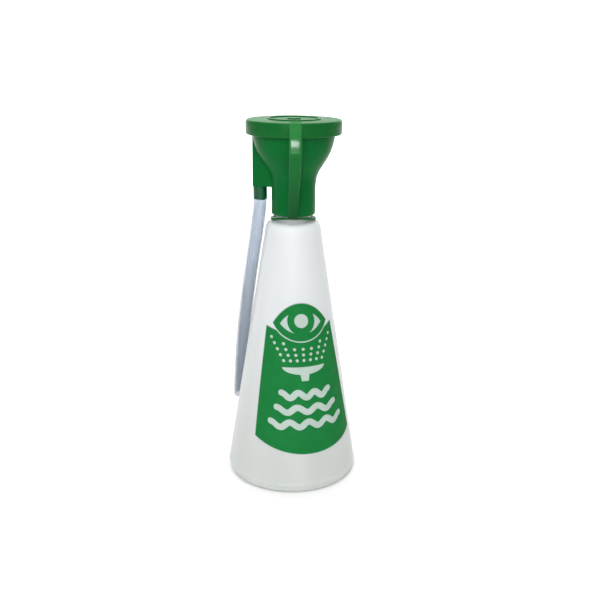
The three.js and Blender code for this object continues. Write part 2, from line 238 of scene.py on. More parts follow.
def combine(target, tool, operation, smooth=35):
    """Joins the tool to the target, or cuts it out, and removes the tool."""
    modifier = target.modifiers.new("combine", "BOOLEAN")
    modifier.operation = operation
    modifier.solver = "EXACT"
    modifier.material_mode = "TRANSFER"
    modifier.object = tool
    depsgraph = bpy.context.evaluated_depsgraph_get()
    result = bpy.data.meshes.new_from_object(target.evaluated_get(depsgraph))
    target.modifiers.clear()
    target.data = result
    work = bmesh.new()
    work.from_mesh(result)
    bmesh.ops.remove_doubles(work, verts=work.verts, dist=2e-6)
    bmesh.ops.dissolve_degenerate(work, edges=work.edges, dist=1e-6)
    work.to_mesh(result)
    work.free()
    shade(result, smooth)
    bpy.data.objects.remove(tool)
    return target


# ---------------------------------------------------------------- materials
def node_material(name):
    material = bpy.data.materials.new(name)
    material.use_nodes = True
    nodes = material.node_tree.nodes
    return material, nodes, material.node_tree.links, nodes["Principled BSDF"]


def noise(nodes, links, scale, detail=3.0, stretch=(1, 1, 1)):
    """Noise in the object's own space; scale is in cycles per metre."""
    place = nodes.new("ShaderNodeTexCoord")
    size = nodes.new("ShaderNodeMapping")
    size.inputs["Scale"].default_value = stretch
    texture = nodes.new("ShaderNodeTexNoise")
    texture.inputs["Scale"].default_value = scale
    texture.inputs["Detail"].default_value = detail
    links.new(place.outputs["Object"], size.inputs["Vector"])
    links.new(size.outputs["Vector"], texture.inputs["Vector"])
    return texture.outputs["Fac"]


def between(nodes, links, factor, low, high, start=0.3, end=0.7):
    """A colour from low to high as the factor goes from start to end."""
    ramp = nodes.new("ShaderNodeValToRGB")
    ramp.color_ramp.elements[0].position = start
    ramp.color_ramp.elements[0].color = (*low, 1)
    ramp.color_ramp.elements[1].position = end
    ramp.color_ramp.elements[1].color = (*high, 1)
    links.new(factor, ramp.inputs["Fac"])
    return ramp.outputs["Color"]


def coordinate(nodes, links, space, letter):
    """One coordinate of a point, in Object or Generated space, or of its Normal."""
    place = nodes.new("ShaderNodeTexCoord")
    axes = nodes.new("ShaderNodeSeparateXYZ")
    links.new(place.outputs[space], axes.inputs["Vector"])
    return axes.outputs[letter]


def mixed(nodes, links, factor, a, b, way="MIX"):
    """Two colour sockets, mixed by a factor socket or, if it is None, in full."""
    mix = nodes.new("ShaderNodeMix")
    mix.data_type = "RGBA"
    mix.blend_type = way
    if factor is None:
        mix.inputs["Factor"].default_value = 1.0
    else:
        links.new(factor, mix.inputs["Factor"])
    links.new(a, mix.inputs["A"])
    links.new(b, mix.inputs["B"])
    return mix.outputs["Result"]


def calculated(nodes, links, operation, *terms):
    """The result of a Math node whose terms are sockets or plain numbers."""
    node = nodes.new("ShaderNodeMath")
    node.operation = operation
    for socket, term in zip(node.inputs, terms):
        if isinstance(term, bpy.types.NodeSocket):
            links.new(term, socket)
        else:
            socket.default_value = term
    return node.outputs["Value"]


def ranged(nodes, links, factor, low, high, start=0.3, end=0.7):
    """A number from low to high as the factor goes from start to end."""
    span = nodes.new("ShaderNodeMapRange")
    for socket, value in zip(("From Min", "From Max", "To Min", "To Max"), (start, end, low, high)):
        span.inputs[socket].default_value = value
    links.new(factor, span.inputs["Value"])
    return span.outputs["Result"]


def bump(nodes, links, shader, heights):
    """Bumps from (height socket, depth in metres) pairs, stacked."""
    normal = None
    for height, depth in heights:
        node = nodes.new("ShaderNodeBump")
        node.inputs["Strength"].default_value = 1.0
        node.inputs["Distance"].default_value = depth
        links.new(height, node.inputs["Height"])
        if normal:
            links.new(normal, node.inputs["Normal"])
        normal = node.outputs["Normal"]
    links.new(normal, shader.inputs["Normal"])


def moulded(name, colour, deep, roughness, gloss=0.06, top=None, facing=(0.7, 0.98), rubbed=0.3,
            top_gloss=None, shaded_foot=None):
    """Injection-moulded plastic: faint flow marks, uneven gloss and a fine skin.

    Where it faces up, between the two limits of facing, it can be paler (top, a painted light and sheen from
    above), more matt (rubbed) and glossier (top_gloss). Between the two heights of the foot argument, in
    metres, it goes from a painted shade at the lower one to full colour.
    """
    material, nodes, links, shader = node_material(name)
    flow = noise(nodes, links, 90, 4, (1, 1, 0.35))
    body = between(nodes, links, flow, deep, colour)
    handling = noise(nodes, links, 90, 2)
    uneven = ranged(nodes, links, handling, roughness * 0.9, roughness * 1.15, 0.0, 1.0)
    shader.inputs["Specular IOR Level"].default_value = gloss
    if top:
        normal_z = coordinate(nodes, links, "Normal", "Z")
        upward = ranged(nodes, links, normal_z, 0, 1, *facing)
        # Painted light: up-facing parts get a paler colour that stands in for light and sheen from above.
        painted_top_light = between(nodes, links, noise(nodes, links, 70, 5), [0.75 * c for c in top], top)
        body = mixed(nodes, links, upward, body, painted_top_light)
        uneven = calculated(nodes, links, "MULTIPLY_ADD", upward, rubbed, uneven)
        if top_gloss:  # full on the slopes, and less where it lies flat
            slope = ranged(nodes, links, upward, gloss, top_gloss, 0.5, 1.0)
            flat = ranged(nodes, links, normal_z, 0, top_gloss - gloss, 0.42, 0.62)
            shine = calculated(nodes, links, "SUBTRACT", slope, flat)
            links.new(shine, shader.inputs["Specular IOR Level"])
    if shaded_foot:
        # Painted shade: the colour darkens towards the foot, where the strap stands in shadow.
        deepen = nodes.new("ShaderNodeVectorMath")
        deepen.operation = "SCALE"
        height = coordinate(nodes, links, "Object", "Z")
        links.new(body, deepen.inputs[0])
        links.new(ranged(nodes, links, height, 0.5, 1.0, *shaded_foot), deepen.inputs["Scale"])
        body = deepen.outputs["Vector"]
    links.new(body, shader.inputs["Base Color"])
    links.new(uneven, shader.inputs["Roughness"])
    bump(nodes, links, shader, [
        (noise(nodes, links, 140, 1), 0.0001),
        (noise(nodes, links, 1500, 2), 0.000004),
    ])
    shader.inputs["IOR"].default_value = 1.5
    return material


def milky_polyethylene():
    """Blow-moulded bottle: milky, with painted shade towards the bottom, a little cooler at the top, soft
    flow streaks and a satin skin.
    """
    material, nodes, links, shader = node_material("bottle_polyethylene")
    # Painted shade: the colour darkens and warms towards the bottom, where less light comes through the
    # bottle.
    height = ranged(nodes, links, coordinate(nodes, links, "Object", "Z"), 0, 1, 0.0, 0.18)
    ground = between(nodes, links, height, (0.60, 0.625, 0.60), (0.80, 0.83, 0.85), 0.1, 0.9)
    streaks = noise(nodes, links, 45, 4, (1, 1, 0.12))
    tint = between(nodes, links, streaks, (0.93, 0.94, 0.93), (1, 1, 1))
    links.new(mixed(nodes, links, None, ground, tint, "MULTIPLY"), shader.inputs["Base Color"])
    satin = noise(nodes, links, 90, 2)
    links.new(ranged(nodes, links, satin, 0.29, 0.35, 0.0, 1.0), shader.inputs["Roughness"])
    bump(nodes, links, shader, [
        (noise(nodes, links, 60, 2, (1, 1, 0.5)), 0.0003),
        (noise(nodes, links, 1500, 2), 0.000004),
    ])
    shader.inputs["IOR"].default_value = 1.51
    shader.inputs["Specular IOR Level"].default_value = 0.35
    shader.inputs["Subsurface Weight"].default_value = 0.6
    shader.inputs["Subsurface Radius"].default_value = (1.0, 1.0, 0.95)
    shader.inputs["Subsurface Scale"].default_value = 0.006
    return material


def printed_ink(name, colour, worn):
    """Screen-printed ink: satin, slightly mottled where it is thinner, with the mesh's faint texture."""
    material, nodes, links, shader = node_material(name)
    mottle = noise(nodes, links, 120, 5)
    links.new(between(nodes, links, mottle, worn, colour, 0.25, 0.6), shader.inputs["Base Color"])
    links.new(ranged(nodes, links, noise(nodes, links, 400, 4), 0.42, 0.55), shader.inputs["Roughness"])
    bump(nodes, links, shader, [(noise(nodes, links, 4500, 2), 0.000008)])
    shader.inputs["IOR"].default_value = 1.48
    shader.inputs["Specular IOR Level"].default_value = 0.03
    return material


def clear_vinyl():
    """Plasticised hose: clear, bluish grey, with drawn-out flow lines, and darker towards its lower, free
    end.
    """
    material, nodes, links, shader = node_material("hose_vinyl")
    drawn = noise(nodes, links, 500, 3, (1, 1, 0.05))
    height = ranged(nodes, links, coordinate(nodes, links, "Object", "Z"), 0, 1, 0.05, 0.16)
    low = between(nodes, links, drawn, (0.38, 0.42, 0.465), (0.43, 0.465, 0.505))
    high = between(nodes, links, drawn, (0.51, 0.555, 0.605), (0.56, 0.60, 0.65))
    links.new(mixed(nodes, links, height, low, high), shader.inputs["Base Color"])
    links.new(ranged(nodes, links, drawn, 0.10, 0.2), shader.inputs["Roughness"])
    bump(nodes, links, shader, [(drawn, 0.00006)])
    shader.inputs["Transmission Weight"].default_value = 1.0
    shader.inputs["IOR"].default_value = 1.45
    shader.inputs["Specular IOR Level"].default_value = 0.3
    return material


def foam():
    """Closed-cell foam of the gasket."""
    material, nodes, links, shader = node_material("seal_foam")
    place = nodes.new("ShaderNodeTexCoord")
    cells = nodes.new("ShaderNodeTexVoronoi")
    cells.inputs["Scale"].default_value = 2600
    links.new(place.outputs["Object"], cells.inputs["Vector"])
    cell = cells.outputs["Distance"]
    colour = between(nodes, links, cell, (0.58, 0.58, 0.54), (0.74, 0.74, 0.70), 0.1, 0.8)
    links.new(colour, shader.inputs["Base Color"])
    links.new(ranged(nodes, links, cell, 0.9, 0.7, 0.1, 0.8), shader.inputs["Roughness"])
    bump(nodes, links, shader, [(cell, 0.00008)])
    return material


MILKY = milky_polyethylene()
GREEN = moulded("green_plastic", (0.002, 0.122, 0.024), (0.001, 0.105, 0.020), 0.3)
# The lid's plate is painted paler where it faces up: a painted sheen of the bright light from above and
# behind. It is also more matt there.
LID_GREEN = moulded("green_lid", (0.007, 0.118, 0.021), (0.005, 0.102, 0.018), 0.26, gloss=0.1,
                    top=(0.06, 0.22, 0.08), facing=(0.85, 0.99), rubbed=0.22)
# The strap's up-facing stretch below the lid is painted brighter, as if lit from above (painted light), and
# it is painted darker towards the foot (painted shade).
THIN_GREEN = moulded("green_strap", (0.004, 0.112, 0.021), (0.003, 0.098, 0.018), 0.15, gloss=0.12,
                     top=(0.014, 0.190, 0.036), facing=(-0.55, 0.3), rubbed=0, top_gloss=0.7,
                     shaded_foot=(0.184, 0.212))
DARK_GREEN = moulded("dark_green_plastic", (0.004, 0.26, 0.08), (0.003, 0.22, 0.07), 0.28)
NATURAL = moulded("natural_plastic", (0.80, 0.82, 0.80), (0.72, 0.74, 0.72), 0.35)
SIGN_INK = printed_ink("sign_ink", (0.010, 0.165, 0.038), (0.014, 0.185, 0.045))
SIGN_GROUND = printed_ink("sign_ground", (0.42, 0.51, 0.46), (0.47, 0.55, 0.51))
VINYL = clear_vinyl()
FOAM = foam()

# ---------------------------------------------------------------- camera
CAMERA_DISTANCE = 526
CAMERA_HEIGHT = 289
CAMERA_AZIMUTH = -1.75
CAMERA_PITCH = 17.5  # below the horizon
CAMERA_YAW = 0.54  # aimed this far to the right of the bottle's axis
CAMERA_ROLL = 0.55
LENS = 48.3


def add_camera():
    data = bpy.data.cameras.new("camera")
    data.lens = LENS
    data.sensor_width = 36
    data.clip_end = 20
    camera = bpy.data.objects.new("camera", data)
    bpy.context.scene.collection.objects.link(camera)
    camera.location = [c * MM for c in around(CAMERA_DISTANCE, CAMERA_AZIMUTH, CAMERA_HEIGHT)]
    aim = (
        Matrix.Rotation(math.radians(CAMERA_AZIMUTH - CAMERA_YAW), 3, "Z")
        @ Matrix.Rotation(math.radians(90 - CAMERA_PITCH), 3, "X")
        @ Matrix.Rotation(math.radians(CAMERA_ROLL), 3, "Z")
    )
    camera.rotation_euler = aim.to_euler()
    bpy.context.scene.camera = camera


add_camera()

# ---------------------------------------------------------------- drain hose
HOSE_EXIT = around(SPIGOT_OFFSET, DUCT_ANGLE, SPIGOT_Z)
HOSE_ROUTE = [
    around(SPIGOT_OFFSET, DUCT_ANGLE, HOSE_TOP_Z),
    HOSE_EXIT,
    (-22.5, 4.8, 184),
    (-24.7, 5.7, 168.7),
    (-28.9, 8.5, 140),
    (-32.4, 11.4, 113),
    (-34.9, 15.2, 88.8),
    (-36.9, 20.5, 60),
    (-37.4, 23, 50),
    (-37.5, 24.6, 43),
]


def drain_hose():
    """A clear tube, open at both ends, that is pushed over its spigot and leans out past the cone."""
    line = [Vector(p) for p in through(HOSE_ROUTE, 6)]
    sides = 40
    lip = 0.25  # rounding of the cut ends
    side = Vector((1, 0, 0))
    frames = []
    for i, point in enumerate(line):
        along = (line[min(i + 1, len(line) - 1)] - line[max(i - 1, 0)]).normalized()
        side = (side - along * side.dot(along)).normalized()
        frames.append((point, along, side, along.cross(side)))

    def ring(frame_here, radius, shift=0.0):
        point, along, u, v = frame_here
        turns = [math.tau * k / sides for k in range(sides)]
        return [point + along * shift + (u * math.cos(t) + v * math.sin(t)) * radius for t in turns]

    first, last = frames[0], frames[-1]
    rings = [ring(first, HOSE_R - lip), ring(first, HOSE_R, lip)]
    rings += [ring(f, HOSE_R) for f in frames[1:-1]]
    rings += [ring(last, HOSE_R, -lip), ring(last, HOSE_R - lip), ring(last, HOSE_BORE_R + lip)]
    rings += [ring(last, HOSE_BORE_R, -lip)]
    rings += [ring(f, HOSE_BORE_R) for f in frames[-2:0:-1]]
    rings += [ring(first, HOSE_BORE_R, lip), ring(first, HOSE_BORE_R + lip)]
    rings.append(rings[0])
    hose = swept("drain_hose_tube", rings, VINYL, closed_ends=False)
    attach(hose, "head")
    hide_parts("drain_hose")


drain_hose()


# ---------------------------------------------------------------- bottle
def cone_r(z):
    return BASE_R + (SHOULDER_R - BASE_R) * (z - HEEL_Z) / (SHOULDER_Z - HEEL_Z)


def thread(angle, z, start, depth):
    """Height of a right-handed thread ridge at an angle and a height."""
    root, tip, run_out = 1.0, 0.45, 25
    turn = (angle - 90) % 360
    height = 0.0
    while turn <= THREAD_TURNS * 360:
        away = abs(z - start - THREAD_PITCH * turn / 360)
        share = max(0.0, min(1.0, (root - away) / (root - tip)))
        fade = min(1.0, turn / run_out, (THREAD_TURNS * 360 - turn) / run_out)
        height = max(height, depth * share * max(0.0, fade))
        turn += 360
    return height


def bottle():
    """Blow-moulded shell with a pushed-up base, a heel line, a mould seam on both sides and a neck thread."""
    seam_h, seam_w = 0.12, 0.45
    thick = 1.4
    angles = fine_near([90, 270], 1.5, 0.25, 120)

    def seamed(radius):
        """The radius with the mould's seam, a low ridge at both sides."""
        def at(angle):
            off = min(abs((angle - 90 + 180) % 360 - 180), abs((angle - 270 + 180) % 360 - 180))
            arc = math.radians(off) * radius
            return radius + seam_h * math.exp(-((arc / seam_w) ** 2))
        return at

    def threaded(z):
        return lambda angle: NECK_R + thread(angle, z, THREAD_Z, THREAD_DEPTH)

    foot = rounded([(0, 2.4), (22, 2.2, 6), (33, 1.4, 3), (36.8, 0, 2), (41.6, 0), (42.0, 0)])
    heel = bezier((42.4, 0), (44.0, 0.1), (44.5, 1.4), (44.5, 4.2), 10)
    ledge = [(44.5, 4.4), (44.62, 4.75), (45.0, 5.0), (45.1, 5.4), (45.0, 5.8), (cone_r(6.3), 6.3)]
    wall = [(cone_r(z), z) for z in (7.5, *range(9, 169, 3))]
    shoulder = bezier((cone_r(170), 170), (18.3, 174.5), (18.1, 178.4), (15.1, 178.9), 14)
    neck_foot = [(13.4, 179.1), (12.4, 179.3), (11.85, 179.8), (NECK_R, 180.8)]
    neck = [(threaded(z), z) for z in evenly(185, 0.25, 45)]
    lip = [(NECK_R, NECK_TOP_Z - 0.6), (NECK_R - 0.2, NECK_TOP_Z - 0.15), (NECK_R - 0.6, NECK_TOP_Z)]
    inside = [
        (NECK_BORE_R + 0.4, NECK_TOP_Z), (NECK_BORE_R, NECK_TOP_Z - 0.4), (NECK_BORE_R, 179),
        *bezier((NECK_BORE_R, 178.2), (15.4, 177.6), (16.8, 175), (cone_r(168) - thick, 168), 8),
        *[(cone_r(z) - thick, z) for z in range(160, 10, -10)],
        *bezier((cone_r(9) - thick, 9), (43.0, 3), (42.0, 2), (37.2, 2.1), 6),
        (33, 3.2), (22, 4.0), (0, 4.2),
    ]
    outside = [(seamed(r), z) for r, z in heel + ledge + wall + shoulder]
    rows = foot[:-1] + outside + neck_foot + neck + lip + inside
    shell = turned("bottle_shell", rows, MILKY, angles)
    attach(shell, "bottle")
    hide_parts("bottle")


bottle()

# ---------------------------------------------------------------- printed sign
SIGN_CENTRE = 10.4
SIGN_LEAN = 0.08  # degrees further round for each millimetre below the eye
EYE_Z = 115.2
PANEL_TOP_Z, PANEL_CORNER_Z, PANEL_LOW_Z = 112.5, 36.8, 27.1
PANEL_TOP_HALF, PANEL_CORNER_HALF = 24.4, 39.6
EYE_HALF, EYE_RISE, EYE_DROP = 19.2, 13.4, 11.6
EYE_MARGIN = 0.85


def arc(half, rise, z, steps=28):
    """Points from -half to half of a flat arc that rises (or falls) by rise in the middle."""
    radius = (half * half + rise * rise) / (2 * abs(rise))
    side = math.copysign(1, rise)
    span = math.asin(half / radius)
    angles = [span * (2 * k / steps - 1) for k in range(steps + 1)]
    return [(radius * math.sin(a), z + rise - side * (radius - radius * math.cos(a))) for a in angles]


def circle(x, z, radius, steps=24):
    turns = [math.tau * k / steps for k in range(steps)]
    return [(x + radius * math.cos(t), z + radius * math.sin(t)) for t in turns]


def grown(outline, margin):
    """The outline moved outwards by a margin."""
    count = len(outline)
    area = sum(a[0] * b[1] - b[0] * a[1] for a, b in zip(outline, outline[1:] + outline[:1]))
    side = math.copysign(margin, area)
    moved = []
    for i, (x, z) in enumerate(outline):
        (x0, z0), (x1, z1) = outline[i - 1], outline[(i + 1) % count]
        before = Vector((z - z0, x0 - x)).normalized()
        after = Vector((z1 - z, x - x1)).normalized()
        out = before + after
        out = out / max(out.length_squared / 2, 0.6)
        moved.append((x + out.x * side, z + out.y * side))
    return moved


def eye_shapes():
    """The eye: a lens with a pupil and two slivers of white left open beside the iris."""
    shares = [k / 24 - 1 for k in range(49)]
    upper = [(EYE_HALF * t, EYE_Z + EYE_RISE * (1 - t * t)) for t in shares]
    lower = arc(EYE_HALF, -EYE_DROP, EYE_Z)
    outline = upper + lower[-2:0:-1]
    iris = Vector((0, EYE_Z + 1.6))
    iris_r, pupil_r = 9.1, 4.65
    white_half, white_rise, white_drop = 14.2, 8.1, 6.9
    holes = [circle(iris.x, iris.y + 0.3, pupil_r, 40)]
    for side in (-1, 1):
        lids = []
        for rise in (white_rise, -white_drop):
            lid = [Vector((side * abs(x), z)) for x, z in arc(white_half, rise, EYE_Z, 120)[:60]]
            lids.append([p for p in lid if (p - iris).length > iris_r])
        top, bottom = (lid[-1] - iris for lid in lids)
        sweep = top.angle_signed(bottom)
        edge = [iris + Matrix.Rotation(-sweep * k / 16, 2) @ top for k in range(1, 16)]
        holes.append([tuple(p) for p in lids[0] + edge + lids[1][:0:-1]])
    return outline, holes


def dots():
    """Spray in seven rays that come together downwards. Only the outer rays reach the upper rows."""
    top_z, step_z, rows = 105.8, 3.73, 5
    low_half, spread, radius = 13.5, 0.5, 1.06
    reach = [3, 2, 0, 0, 0]  # innermost ray of each row
    shapes = []
    for row in range(rows):
        z = top_z - row * step_z
        half = low_half + spread * (z - top_z + (rows - 1) * step_z)
        rays = [k for k in range(-3, 4) if abs(k) >= reach[row]]
        shapes += [circle(half * k / 3, z, radius, 18) for k in rays]
    return shapes


def bowl():
    """A wide shallow bowl on a short stem."""
    half, depth, top_z = 14.9, 5.2, 86.5
    stem_half, stem_z = 2.4, 77.0
    rim = [(half * math.cos(t), top_z - depth * math.sin(t)) for t in (math.pi * k / 30 for k in range(31))]
    right = [p for p in rim if p[0] > stem_half]
    left = [p for p in rim if p[0] < -stem_half]
    return right + [(stem_half, stem_z), (-stem_half, stem_z)] + left


def waves():
    """Three lines of water below the bowl, wider towards the foot, with round ends."""
    rise, thick, steps = 1.7, 2.15, 90
    shapes = []
    for z, half, length in ((67.6, 16.8, 11.2), (57.6, 21.0, 14), (47.6, 26.2, 13.1)):
        line = [-half + 2 * half * k / steps for k in range(steps + 1)]
        middle = [Vector((x, z + rise * math.cos(math.tau * (x + half) / length))) for x in line]
        slopes = [-rise * math.tau / length * math.sin(math.tau * (x + half) / length) for x in line]
        outs = [Vector((-slope, 1)).normalized() * thick for slope in slopes]
        end = [math.pi * k / 10 for k in range(1, 10)]
        right = [middle[-1] + Vector((math.sin(t), math.cos(t))) * thick for t in end]
        left = [middle[0] - Vector((math.sin(t), math.cos(t))) * thick for t in end]
        above = [m + o for m, o in zip(middle, outs)]
        below = [m - o for m, o in zip(middle, outs)]
        shapes.append([tuple(p) for p in above + right + below[::-1] + left])
    return shapes


def panel_outline():
    """Sides straight, foot curved, and the top cut back round the eye's lower lid."""
    drop = 1.8  # the print sits a little low at its right corner
    foot = [(x, z - drop * (max(0.0, x) / PANEL_CORNER_HALF) ** 2)
            for x, z in arc(PANEL_CORNER_HALF, PANEL_LOW_Z - PANEL_CORNER_Z, PANEL_CORNER_Z)]
    lid = grown(arc(EYE_HALF, -EYE_DROP, EYE_Z) + [(0, EYE_Z + EYE_RISE)], EYE_MARGIN)[:-1]
    cut = [(x, z) for x, z in lid if z < PANEL_TOP_Z - 1.5]
    return foot + [(PANEL_TOP_HALF, PANEL_TOP_Z + 0.9)] + cut[::-1] + [(-PANEL_TOP_HALF, PANEL_TOP_Z)]


def on_bottle(x, z, lift):
    """A point of the flat artwork, laid on the cone."""
    angle = SIGN_CENTRE + SIGN_LEAN * (EYE_Z - z) + math.degrees(x / cone_r(z))
    return around(cone_r(z) + lift, angle, z)


def print_film(name, outline, holes, lift, thickness, material, nodes):
    """A flat shape with holes, cut into small cells, laid on the cone and given its thickness."""
    curve = bpy.data.curves.new(name, "CURVE")
    curve.dimensions = "2D"
    curve.fill_mode = "BOTH"
    for loop in [outline, *holes]:
        spline = curve.splines.new("POLY")
        spline.points.add(len(loop) - 1)
        for point, (x, z) in zip(spline.points, loop):
            point.co = (x, z, 0, 1)
        spline.use_cyclic_u = True
    flat = bpy.data.objects.new(name, curve)
    bpy.context.scene.collection.objects.link(flat)
    mesh = bpy.data.meshes.new_from_object(flat.evaluated_get(bpy.context.evaluated_depsgraph_get()))
    bpy.data.objects.remove(flat)
    work = bmesh.new()
    work.from_mesh(mesh)
    bmesh.ops.remove_doubles(work, verts=work.verts, dist=1e-4)
    cell = 1.6  # three times as high as wide, because the cone is straight upwards
    for axis in (0, 1):
        low = min(v.co[axis] for v in work.verts)
        high = max(v.co[axis] for v in work.verts)
        normal = (1, 0, 0) if axis == 0 else (0, 1, 0)
        step = cell * (1 + 2 * axis)
        for k in range(1, int((high - low) / step) + 1):
            cut = [0, 0, 0]
            cut[axis] = low + k * step
            geometry = work.verts[:] + work.edges[:] + work.faces[:]
            bmesh.ops.bisect_plane(work, geom=geometry, dist=1e-5, plane_co=cut, plane_no=normal)
    raised = bmesh.ops.extrude_face_region(work, geom=work.faces[:])["geom"]
    top = {v for v in raised if isinstance(v, bmesh.types.BMVert)}
    for v in work.verts:
        v.co = Vector(on_bottle(v.co.x, v.co.y, lift + thickness if v in top else lift)) * MM
    bmesh.ops.recalc_face_normals(work, faces=work.faces)
    work.to_mesh(mesh)
    work.free()
    shade(mesh, 40)
    mesh.materials.clear()
    mesh.materials.append(material)
    film = bpy.data.objects.new(name, mesh)
    bpy.context.scene.collection.objects.link(film)
    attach(film, "bottle")
    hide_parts(*nodes)


def sign():
    """Green ink over a pale ground that shows in the openings and as a thin line round the edge."""
    eye, eye_holes = eye_shapes()
    panel = panel_outline()
    panel_holes = dots() + [bowl()] + waves()
    edge = 0.45
    ground = (0.03, 0.05, SIGN_GROUND)  # lift off the bottle, thickness and material
    ink = (0.10, 0.06, SIGN_INK)
    print_film("sign_panel_ground", grown(panel, edge), [], *ground, ["sign_panel"])
    print_film("sign_panel_print", panel, panel_holes, *ink, ["sign_panel"])
    print_film("sign_eye_ground", grown(eye, edge), [], *ground, ["sign_eye"])
    print_film("sign_eye_print", eye, eye_holes, *ink, ["sign_eye"])


sign()


# ---------------------------------------------------------------- eye cup
def smooth_max(a, b, reach):
    """The larger of two lengths, with a fillet where they are about equal."""
    share = max(0.0, reach - abs(a - b)) / reach
    return max(a, b) + share * share * reach / 4


def box_radius(angle, far, half_width):
    """Radius of a box that points outwards at the duct's angle, with rounded corners."""
    off = math.radians(abs((angle - DUCT_ANGLE + 180) % 360 - 180))
    if off > math.radians(60):
        return 0.0
    end = far / math.cos(off)
    side = half_width / max(math.sin(off), 1e-6)
    return -smooth_max(-end, -side, 1.6)


def with_duct(radius, fillet=0.7):
    return lambda angle: smooth_max(radius, box_radius(angle, DUCT_R, DUCT_W / 2), fillet)


def with_channel(radius):
    half = DUCT_W / 2 - DUCT_WALL
    return lambda angle: smooth_max(radius, box_radius(angle, DUCT_R - DUCT_WALL, half), 0.5)


def inset_duct(radius, inset):
    """A radius with the duct drawn in by an inset, without a fillet."""
    return lambda angle: max(radius, box_radius(angle, DUCT_R - inset, DUCT_W / 2 - inset))


def collar_bore(z):
    start = THREAD_Z - THREAD_PITCH / 2
    return lambda angle: COLLAR_BORE_R - thread(angle, z, start, COLLAR_THREAD_DEPTH)


def eye_cup():
    """Collar, S-shaped cup with a beaded rim, floor, stem socket, and the drain duct on its side."""
    angles = fine_near([DUCT_ANGLE % 360], 24, 0.5, 120)
    outer = through([
        (14.5, 186), (14.5, 194), (14.5, 201), (14.75, 204.8), (15.4, 208.2), (17.0, 212), (19.4, 215.9),
        (21.8, 219.8), (23.8, 223.6), (25.2, 227.5), (26.2, 231.5), (26.8, 235), (27.1, 239.2),
    ], 6)
    below = [(r, z) for r, z in outer if z < DUCT_Z - 0.05]
    above = [(r, z) for r, z in outer if z > DUCT_Z + 0.9]
    collar_r = outer[0][0]
    collar = [
        (COLLAR_BORE_R + 0.4, COLLAR_Z + 0.05), (collar_r - 0.5, COLLAR_Z),
        (collar_r - 0.2, COLLAR_Z + 0.1), (collar_r - 0.05, COLLAR_Z + 0.5),
    ]
    ledge = [
        (collar_r, DUCT_Z), (inset_duct(collar_r, 0.7), DUCT_Z), (inset_duct(collar_r, 0.25), DUCT_Z + 0.12),
        (inset_duct(collar_r, 0.05), DUCT_Z + 0.4), (with_duct(collar_r, 0.2), DUCT_Z + 0.8),
    ]
    rim = rounded([(27.1, 239.4), (27.15, 240.6, 0.5), (CUP_RIM_R, 241.2, 0.4), (CUP_RIM_R, CUP_RIM_Z, 0.6),
                   (26.2, CUP_RIM_Z, 0.4), (25.75, 241.8, 0.6), (25.6, 239.6)], 4)
    bowl_profile = through([
        (25.5, 238), (25.2, 234), (24.3, 229.5), (23.2, 226), (21.4, 222), (19.0, 218), (16.8, 214.6),
        (14.7, 210.6), (13.8, 207), (13.3, 204.8),
    ], 6)
    bowl_rows = [(with_channel(r), z) for r, z in bowl_profile]
    floor_r = 12.3
    channel_floor = [
        (with_channel(13.0), 204.2), (with_channel(12.6), DUCT_FLOOR_Z + 0.25),
        (inset_duct(floor_r, DUCT_WALL + 0.2), DUCT_FLOOR_Z), (floor_r, DUCT_FLOOR_Z),
    ]
    stem = [
        (6.4, FLOOR_TOP_Z - 0.1), (5.0, FLOOR_TOP_Z - 0.1), (5.0, 201), (2.6, 201), (2.6, 200), (3.9, 200),
        (3.9, 194.4), (4.2, 194), (5.3, 194), (5.6, 194.4), (5.6, FLOOR_Z), (COLLAR_BORE_R, FLOOR_Z),
    ]
    thread_rows = [(collar_bore(z), z) for z in evenly(195, -0.3, 36)]
    rows = (
        collar + below + ledge + [(with_duct(r), z) for r, z in above] + rim + bowl_rows + channel_floor
        + stem + thread_rows
    )
    cup = turned("eye_cup_body", rows, GREEN, angles, closed=True)
    hole_low, hole_high, hole_r = 198.0, 206.0, 2.8
    x, y, _ = around(SPIGOT_OFFSET, DUCT_ANGLE, 0)
    hole_rows = [(0, hole_low), (hole_r, hole_low), (hole_r, hole_high), (0, hole_high)]
    hole = turned("drain_hole", hole_rows, GREEN, even_angles(48))
    hole.data.transform(Matrix.Translation((x * MM, y * MM, 0)))
    combine(cup, hole, "DIFFERENCE")
    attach(cup, "head")
    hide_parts("eye_cup")


eye_cup()


def hose_spigot():
    """Round nipple under the duct with a bevelled end, seen through the hose that is pushed over it."""
    radius, plug_r, bore = HOSE_BORE_R + 0.12, 2.5, 1.7  # the hose is stretched over it
    shoulder, top = DUCT_Z - 0.3, DUCT_FLOOR_Z - 0.2
    middle = 196
    rows = rounded([
        (bore, middle), (bore, SPIGOT_Z, 0.2), (radius - 0.35, SPIGOT_Z, 0.2), (radius, SPIGOT_Z + 0.6, 0.2),
        (radius, shoulder, 0.25), (plug_r, shoulder), (plug_r, top, 0.2),
        (bore, top, 0.2), (bore, middle),
    ], 4)[:-1]
    spigot = turned("hose_spigot_nipple", rows, DARK_GREEN, even_angles(56), closed=True)
    x, y, _ = around(SPIGOT_OFFSET, DUCT_ANGLE, 0)
    spigot.data.transform(Matrix.Translation((x * MM, y * MM, 0)))
    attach(spigot, "head")
    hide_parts("hose_spigot")


hose_spigot()


